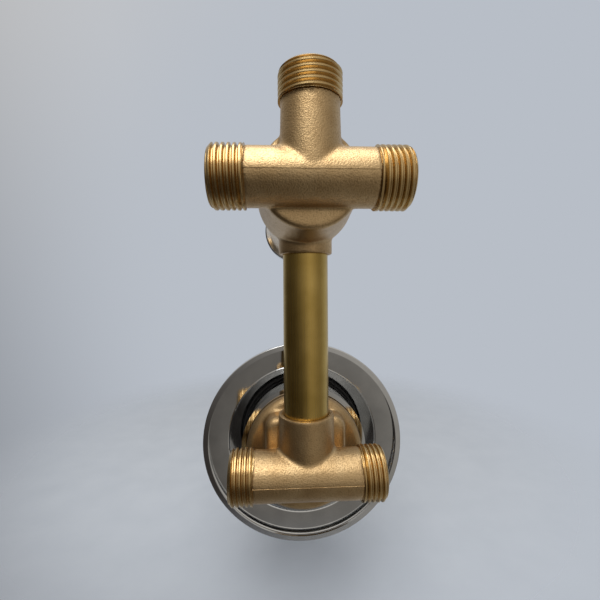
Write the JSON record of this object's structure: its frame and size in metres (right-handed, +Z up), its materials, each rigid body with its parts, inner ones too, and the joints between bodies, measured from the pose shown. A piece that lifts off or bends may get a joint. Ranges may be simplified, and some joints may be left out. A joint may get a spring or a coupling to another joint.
{
  "type": "concealed shower mixer and diverter valve",
  "caption": "In-wall brass shower valve: a single-lever mixer with male inlets joined by a riser to a diverter with male outlets, with a chromed escutcheon, sleeve, lever and knob.",
  "frame": {"origin": "on the mixer's axis, in the finished wall plane that the escutcheon's rim lies in", "axes": "+Z up along the riser, +Y into the wall, -Y into the room, +X to the right seen from the room"},
  "size_m": [0.094, 0.1465, 0.217],
  "materials": {
    "cast_brass": "sand cast and shot blasted, satin",
    "drawn_brass": "drawn tube, smooth",
    "machined_brass": "turned",
    "chrome": "polished plating",
    "steel": "turned stainless",
    "ceramic": "lapped alumina",
    "cartridge_plastic": "moulded acetal",
    "rubber": "moulded rubber",
    "plug_plastic": "moulded, plain"
  },
  "bodies": {
    "valve": {"mixer_body": "cast_brass", "riser_pipe": "drawn_brass", "diverter_body": "cast_brass", "mixer_port_seals": "rubber", "mixer_cartridge_base": "cartridge_plastic", "mixer_fixed_disc": "ceramic", "mixer_cartridge_housing": "cartridge_plastic", "mixer_cartridge_nut": "machined_brass", "sleeve_o_ring": "rubber", "mixer_sleeve": "chrome", "escutcheon": "chrome", "escutcheon_o_ring": "rubber", "diverter_seat_gasket": "rubber", "diverter_fixed_disc": "ceramic", "diverter_bonnet": "machined_brass", "bonnet_o_ring": "rubber", "diverter_sleeve": "machined_brass"},
    "mixer_turning_part": {"mixer_rotor": "cartridge_plastic", "mixer_pivot_pin": "steel"},
    "mixer_lever": {"mixer_lever_stem": "steel", "lever_handle": "chrome", "handle_set_screw": "steel", "handle_plug": "plug_plastic"},
    "mixer_sliding_disc": {"mixer_moving_disc": "ceramic", "mixer_disc_carrier": "cartridge_plastic"},
    "selector": {"diverter_spindle": "machined_brass", "diverter_moving_disc": "ceramic", "spindle_o_rings": "rubber", "spindle_circlip": "steel", "diverter_knob": "chrome", "knob_screw": "steel", "knob_cap": "chrome"}
  },
  "joints": [
    {"name": "temperature", "type": "hinge", "parent": "valve", "child": "mixer_turning_part", "pos_m": [0, -0.024, 0], "axis": [0, 1, 0], "range_deg": [-50, 50]},
    {"name": "flow", "type": "hinge", "parent": "mixer_turning_part", "child": "mixer_lever", "pos_m": [0, -0.024, 0], "axis": [-1, 0, 0], "range_deg": [0, 25]},
    {"name": "disc_stroke", "type": "slide", "parent": "mixer_turning_part", "child": "mixer_sliding_disc", "axis": [0, 0, -1], "range_m": [0, 0.005]},
    {"name": "selection", "type": "hinge", "parent": "valve", "child": "selector", "pos_m": [0, -0.06, 0.1089], "axis": [0, 1, 0], "range_deg": [-120, 120]}
  ],
  "couplings": [
    {"joint": "disc_stroke", "follows": "flow", "m_per_rad": 0.011409}
  ]
}
